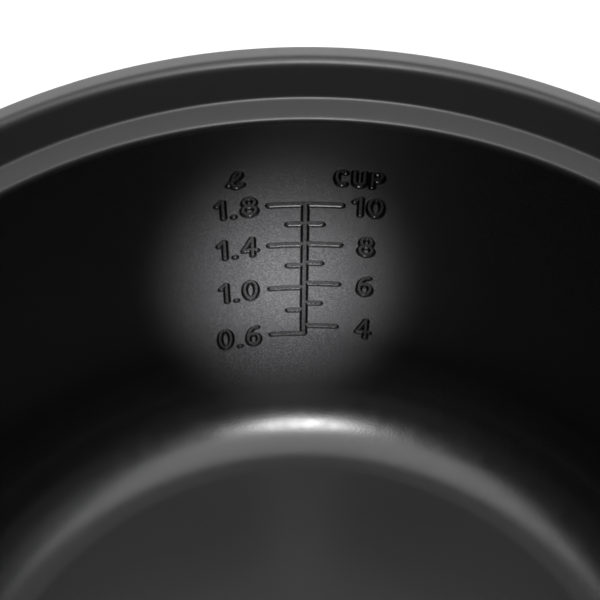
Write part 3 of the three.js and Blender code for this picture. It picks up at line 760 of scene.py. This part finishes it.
def coil_spring(name, radius, wire, length, turns, place):
    """Round wire wound about the local Z axis, with closed ends."""
    steps, around = turns * 40, 10
    s = np.linspace(0, 1, steps + 1)
    lift = np.clip((s * turns - 0.8) / (turns - 1.6), 0, 1)
    middle = np.stack([radius * np.cos(2 * math.pi * turns * s), radius * np.sin(2 * math.pi * turns * s),
                       wire + (length - 2 * wire) * (0.12 * s + 0.88 * lift)], axis=1)
    out = middle * np.array([1, 1, 0]) / radius
    vertices = [middle[i] + wire * (math.cos(t) * out[i] + math.sin(t) * np.array([0, 0, 1]))
                for i in range(steps + 1) for t in np.linspace(0, 2 * math.pi, around, endpoint=False)]
    faces = [(i * around + j, i * around + (j + 1) % around, (i + 1) * around + (j + 1) % around,
              (i + 1) * around + j) for i in range(steps) for j in range(around)]
    faces += [tuple(range(around)), tuple(range(steps * around, (steps + 1) * around))]
    return make_object(name, vertices, faces, place)


def springs():
    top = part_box("sensor_cap")[1].z / MM - 1.0
    sensor = coil_spring("sensor_coil", 10.1, 0.45, top - 41.4, 6,
                         STANDING @ Matrix.Translation((0, 0, 41.3)))
    finish_piece(sensor, "base", "steel", STEEL, "sensor_spring")
    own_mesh(sensor)

    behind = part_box("release_button")[1].y / MM - POT_AXIS.y / MM + 0.2
    latch = coil_spring("latch_coil", 2.6, 0.4, -122.4 - behind, 6, STANDING
                        @ Matrix.Translation((0, -122.4, 166.8)) @ Matrix.Rotation(math.pi / 2, 4, "X"))
    finish_piece(latch, "base", "steel", STEEL, "latch_spring")
    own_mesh(latch)

    opener = coil_spring("hinge_coil", 4.7, 0.7, 14.0, 8, STANDING
                         @ Matrix.Translation((2.0, HINGE_Y, HINGE_Z)) @ Matrix.Rotation(math.pi / 2, 4, "Y"))
    finish_piece(opener, "base", "steel", STEEL, "hinge_spring")


def hinge_parts():
    knuckle, bore = 8.0, 2.8
    bracket = prism("hinge_housing", panel_outline(36, 152, 183, 4), 110, 157)
    for side in (-1, 1):
        near, far = sorted((24 * side, 34 * side))
        outline = softened([(141, 175), (156, 175), (156, HINGE_Z), (141, HINGE_Z)], 2)
        ear = prism("ear", outline, near, far, "x")
        combine(bracket, "UNION", ear, rod("ear", knuckle, near, far, "x", (HINGE_Y, HINGE_Z), sides=96))
        rail = sorted((28.6 * side, 32 * side))
        lip = sorted((26.6 * side, 32 * side))
        combine(bracket, "UNION", block("rail", (rail[0], 130, 143), (rail[1], 156, 153)),
                block("lip", (lip[0], 130, 143), (lip[1], 156, 146)))
    combine(bracket, "DIFFERENCE", shell_core("core", 0.4, 100, 184.5),
            rod("cut", bore, -40, 40, "x", (HINGE_Y, HINGE_Z)))
    ease(bracket, 0.9, 4)
    finish_piece(bracket, "base", "white_body", WHITE, "hinge_bracket")

    pin = rod("hinge_axle", 2.5, -36, 36, "x", (HINGE_Y, HINGE_Z), edge=0.6)
    weigh(pin)
    finish_piece(pin, "base", "steel", STEEL, "hinge_pin")

    arm = prism("lid_arm", softened([(130, 193, 1), (HINGE_Y, 193, 1), (HINGE_Y, 207, 1), (130, 207, 1)], 3),
                -22, 22, "x", OPEN_LID)
    combine(arm, "UNION", rod("arm", knuckle, -22, 22, "x", (HINGE_Y, HINGE_Z), OPEN_LID, 96))
    combine(arm, "DIFFERENCE", rod("cut", bore, -30, 30, "x", (HINGE_Y, HINGE_Z), OPEN_LID),
            block("cut", (1.5, HINGE_Y - 6.5, HINGE_Z - 10), (16.5, HINGE_Y + 10, HINGE_Z + 10), OPEN_LID))
    ease(arm, 0.7, 3)
    finish_piece(arm, "lid", "grey_trim", GREY, "lid_hinge_arm")


def rear_fittings():
    cup = copy_of("dew_cup", "dew_cup_moulding")
    ease(cup, 0.5, 3)
    finish_piece(cup, "dew_cup", "clear_plastic", CLEAR, "dew_cup")
    inlet = copy_of("power_inlet", "inlet_housing")
    ease(inlet, 0.7, 3)
    finish_piece(inlet, "base", "black_plastic", DARK, "power_inlet")
    for x, name in ((-7.5, "inlet_pin_left"), (7.5, "inlet_pin_right")):
        pin = rod(f"{name}_round", 2.2, 112, 137, "y", (x, 38), edge=1.4)
        weigh(pin)
        finish_piece(pin, "base", "brass", BRASS, name)


# ---------------------------------------------------------------- lid, drawn shut and swung open
def lid_shell():
    dome = flowing([(137.2, 206), (135.9, 218), (132.2, 232), (125.0, 243.5), (112.5, 252.2), (94, 257.8),
                    (68, 260.8), (36, 262.2), (0, 262.5)])
    dome[-1] = (0.0, 262.5)
    inner = inset(dome, 2.3)[::-1]
    inner[0], inner[-1] = (0.0, inner[0][1]), (134.8, 206.0)
    skirt = softened([(134.8, 206), (134.8, 187.3, 0.9), (137.2, 187.3, 0.9), (137.2, 206)], 4)
    outline = inner + skirt[:-1] + dome
    shell = turned("lid_dome", outline, OPEN_LID, 200)
    combine(shell, "DIFFERENCE",
            rod("cut", 19.8, 240, 275, "z", (0, STEAM_Y), OPEN_LID, 96),
            block("cut", (-22.5, 120, 180), (22.5, 150, 207.6), OPEN_LID),
            rod("cut", 4.4, -150, 150, "x", (0, HANDLE_Z), OPEN_LID))
    ease(shell, 0.4, 3)
    finish_piece(shell, "lid", "white_body", WHITE, "lid_shell")

    frame_ring = turned("lid_liner", softened([
        (0, 207.5), (126.5, 207.5, 1.2), (128.3, 206, 0.8), (128.3, 200.2, 0.6), (133.6, 200.2, 0.6),
        (133.6, 211, 0.4), (132.2, 211, 0.2), (132.2, 209.5, 0.3), (0, 209.5)], 4), OPEN_LID, 200)
    combine(frame_ring, "DIFFERENCE", rod("cut", 10, 195, 215, "z", (0, STEAM_Y), OPEN_LID),
            block("cut", (-22.4, 129.7, 190), (22.4, 150, 207.6), OPEN_LID))
    ease(frame_ring, 0.3, 2)
    finish_piece(frame_ring, "lid", "grey_trim", GREY, "lid_frame")


def inner_lid():
    disc = turned("inner_lid_plate", softened([
        (0, 199.0), (22, 199.0, 1.5), (24.5, 198.2, 1.5), (27, 199.0, 1.5), (90, 199.0, 2), (97, 201.0, 3),
        (119.6, 201.0, 0.3), (119.6, 202.2, 0.3), (97, 202.2, 3), (90, 200.2, 2), (0, 200.2)], 5),
                  OPEN_LID, 220)
    holes = [rod("cut", 2.6, 190, 210, "z", (7 * math.cos(t), STEAM_Y + 7 * math.sin(t)), OPEN_LID, 32)
             for t in np.radians(np.arange(0, 360, 72))]
    combine(disc, "DIFFERENCE", *holes)
    ease(disc, 0.2, 2)
    finish_piece(disc, "lid", "aluminium", INNER_LID, "inner_lid")

    gasket = turned("lid_seal", softened([
        (117.6, 199.0, 0.5), (121.5, 198.4, 0.8), (126.6, 197.4, 0.5), (127.6, 197.5, 0.2),
        (127.4, 198.4, 0.3), (123.2, 200.4, 1.0), (123.2, 204.2, 0.6), (117.6, 204.2, 0.6),
        (117.6, 202.6, 0.2), (120, 202.6, 0.2), (120, 200.6, 0.2), (117.6, 200.6, 0.2)], 4), OPEN_LID, 220)
    weigh(gasket)
    finish_piece(gasket, "lid", "silicone", SILICONE, "inner_lid_gasket")

    def ribbed(radius, height, angles):
        grip = (height > 190.6) & (height < 194.8) & (radius > 7)
        return radius - grip * 0.28 * (1 + np.cos(24 * angles)) / 2

    knob = turned("inner_lid_grip", softened([
        (0, 190.4), (6.0, 190.0, 1.0), (9.3, 190.5, 0.8), (9.5, 192), (9.3, 193.5), (8.3, 194.8, 0.6),
        (7, 196, 1), (7, 198.7, 0.3), (0, 198.7)], 4), OPEN_LID, 192, shape=ribbed)
    weigh(knob)
    finish_piece(knob, "lid", "black_plastic", DARK, "inner_lid_knob")


def steam_parts():
    place = OPEN_LID @ Matrix.Translation((0, STEAM_Y, 0))
    cap = turned("steam_vent_cap", softened([
        (14.5, 240, 0.4), (17.4, 240, 0.6), (17.4, 262.9, 0.2), (24.4, 262.9, 0.4), (25, 264.6, 1.2),
        (22.6, 267.3, 2.2), (12.5, 267.9, 0.5), (11.9, 267.3, 0.4), (11.3, 267.9, 0.5), (0, 268.0), (0, 262),
        (14.5, 262, 0.6)], 5), place, 128)
    slots = [prism("cut", [(x, y0 + y) for x, y in panel_outline(8, -1.3, 1.3, 1.2)], 255, 275, "z", place)
             for y0 in (-6, 0, 6)]
    combine(cap, "DIFFERENCE", *slots)
    ease(cap, 0.25, 2)
    finish_piece(cap, "steam_cap", "grey_trim", GREY, "steam_cap")

    duct = turned("steam_pipe", softened([
        (6.8, 203.2, 0.4), (8.2, 203.2, 0.4), (8.2, 232, 0.8), (19.4, 232, 0.8), (19.4, 257.5, 0.4),
        (18, 257.5, 0.4), (18, 233.4, 0.6), (6.8, 233.4, 0.6)], 4), place, 96)
    weigh(duct)
    finish_piece(duct, "lid", "grey_trim", GREY, "steam_duct")


def carry_handle():
    inner, outer, half = HANDLE_R - 3.0, HANDLE_R + 3.0, 4.5
    section = softened([(inner, HANDLE_Z - half, 1.2), (outer, HANDLE_Z - half, 2.6),
                        (outer, HANDLE_Z + half, 2.6), (inner, HANDLE_Z + half, 1.2)], 6)
    bail = turned("carrying_bail", section, OPEN_LID, 240)
    combine(bail, "DIFFERENCE", block("cut", (-150, -150, 200), (150, 0, 240), OPEN_LID))
    for low, high in ((inner, outer + 0.6), (-outer - 0.6, -inner)):
        combine(bail, "UNION", rod("eye", 8, low, high, "x", (0, HANDLE_Z), OPEN_LID, 96))
    combine(bail, "DIFFERENCE", rod("cut", 4.4, -150, 150, "x", (0, HANDLE_Z), OPEN_LID, 64))
    ease(bail, 0.9, 4)
    finish_piece(bail, "handle", "grey_trim", GREY, "carry_handle")

    for side, name in ((1, "handle_pin_right"), (-1, "handle_pin_left")):
        low, high = sorted((129 * side, 146 * side))
        pin = rod(f"{name}_rivet", 4, low, high, "x", (0, HANDLE_Z), OPEN_LID, 64, 1.4)
        weigh(pin)
        finish_piece(pin, "lid", "steel", STEEL, name)


# ---------------------------------------------------------------- CAD nodes that keep their shape
KEPT = {  # the material and the width of the eased edges, in mm
    "lid_hook": (STEEL, 0.35), "latch_slider": (STEEL, 0.25), "inner_can": (CAN, 0.2),
    "heating_plate": (PLATE, 0.6), "heating_element": (STEEL, 0), "plate_post_1": (STEEL, 0.4),
    "plate_post_2": (STEEL, 0.4), "plate_post_3": (STEEL, 0.4), "thermostat_housing": (STEEL, 0.2),
    "sensor_cap": (PLATE, 0.3), "ferrite_disc": (FERRITE, 0.3), "moving_magnet": (FERRITE, 0.3),
    "magnet_rod": (STEEL, 0.2), "keep_warm_heater": (BRASS, 0.2), "cooking_lever": (STEEL, 0.25),
    "lever_bracket": (STEEL, 0.25), "lever_pin": (STEEL, 0.3), "microswitch": (DARK, 0.5),
    "terminal_block": (CREAM, 0.8), "lamp_board": (BOARD, 0.2), "lid_insulation": (FELT, 1.0),
}


def dress_kept_nodes():
    for name, (material, width) in KEPT.items():
        obj = frame["nodes"][name]
        obj.data.materials.clear()
        obj.data.materials.append(material)
        if width:
            bevel = obj.modifiers.new("ease", "BEVEL")
            bevel.width, bevel.segments, bevel.limit_method = width * MM, 2, "ANGLE"
            bevel.angle_limit = math.radians(40)


# ---------------------------------------------------------------- camera, light and floor
def camera():
    """Stands over the pot's right rim and looks down at the far wall."""
    out, up = 0.0957, 0.2066  # from the pot's axis towards +X, and above the rim
    pitch, yaw, roll = math.radians(53.9), math.radians(-1.9), math.radians(0.7)
    forward = Vector((-math.cos(yaw) * math.cos(pitch), math.sin(yaw) * math.cos(pitch), -math.sin(pitch)))
    right = forward.cross(Vector((0, 0, 1))).normalized()
    upward = right.cross(forward)
    across = right * math.cos(roll) + upward * math.sin(roll)
    upward = upward * math.cos(roll) - right * math.sin(roll)
    data = bpy.data.cameras.new("view")
    data.sensor_width, data.lens, data.clip_start = 36.0, 77.34, 0.01
    obj = bpy.data.objects.new("view", data)
    bpy.context.collection.objects.link(obj)
    turn = Matrix((across, upward, -forward)).transposed().to_4x4()
    obj.matrix_world = Matrix.Translation(POT_AXIS + Vector((out, 0, RIM * MM + up))) @ turn
    bpy.context.scene.camera = obj


def place_light(data, place, target):
    obj = bpy.data.objects.new(data.name, data)
    bpy.context.collection.objects.link(obj)
    obj.location = place
    obj.rotation_euler = (Vector(target) - Vector(place)).to_track_quat("-Z", "Y").to_euler()
    return obj


def direction(elevation, azimuth=0.0):
    """Azimuth 0 is the camera's side."""
    e, a = math.radians(elevation), math.radians(azimuth)
    return Vector((math.cos(e) * math.cos(a), math.cos(e) * math.sin(a), math.sin(e)))


def softbox(name, elevation, azimuth, distance, width, height, watts):
    data = bpy.data.lights.new(name, "AREA")
    data.shape, data.size, data.size_y, data.energy = "RECTANGLE", width, height, watts
    aim = POT_AXIS + Vector((0, 0, 0.13))
    place_light(data, aim + direction(elevation, azimuth) * distance, aim)


def scale_spot(elevation, distance, watts):
    """A small spot on the engraved scale, as a product photographer lights it."""
    data = bpy.data.lights.new("scale_spot", "SPOT")
    data.energy, data.spot_size, data.spot_blend, data.shadow_soft_size = watts, math.radians(4.75), 1.0, 0.02
    aim = POT_AXIS + Vector((-0.1128, -0.0115, (FLOOR + 55) * MM))
    spot = place_light(data, aim + direction(elevation) * distance, aim)
    spot.scale = (0.6, 1.0, 1.0)
    spot.visible_glossy = False


def studio():
    world = bpy.data.worlds.new("studio")
    world.use_nodes = True
    world.node_tree.nodes["Background"].inputs["Color"].default_value = (1, 1, 1, 1)
    world.node_tree.nodes["Background"].inputs["Strength"].default_value = 0.06
    bpy.context.scene.world = world
    bpy.context.scene.view_settings.view_transform = "Standard"

    softbox("overhead", 80, 0, 1.6, 1.3, 0.8, 8.7)
    softbox("key", 57, 4, 1.5, 0.2, 0.26, 10.5)
    softbox("far_high", 68, 180, 1.6, 1.6, 0.6, 2.3)
    softbox("far_middle", 48, 180, 1.6, 1.8, 0.5, 8.5)
    softbox("far_low", 28, 180, 1.6, 1.8, 0.5, 14)
    scale_spot(28, 0.9, 1700)

    floor_material = principled("pale_floor", (0.9, 0.9, 0.9), 0.6)
    into(floor_material, spread(floor_material, grain(floor_material, 3, 4), 0.55, 0.65), "Roughness")
    size = 4.0
    floor = make_object("floor", [(-size, -size, 0), (size, -size, 0), (size, size, 0), (-size, size, 0)],
                        [(0, 1, 2, 3)], Matrix.Identity(4))
    floor.data.materials.append(floor_material)


camera()
studio()
inner_pot()
outer_shell()
top_collar()
base_tray()
front_panel()
cooking_knob()
warm_rocker()
latch_button()
springs()
hinge_parts()
rear_fittings()
lid_shell()
inner_lid()
steam_parts()
carry_handle()
dress_kept_nodes()
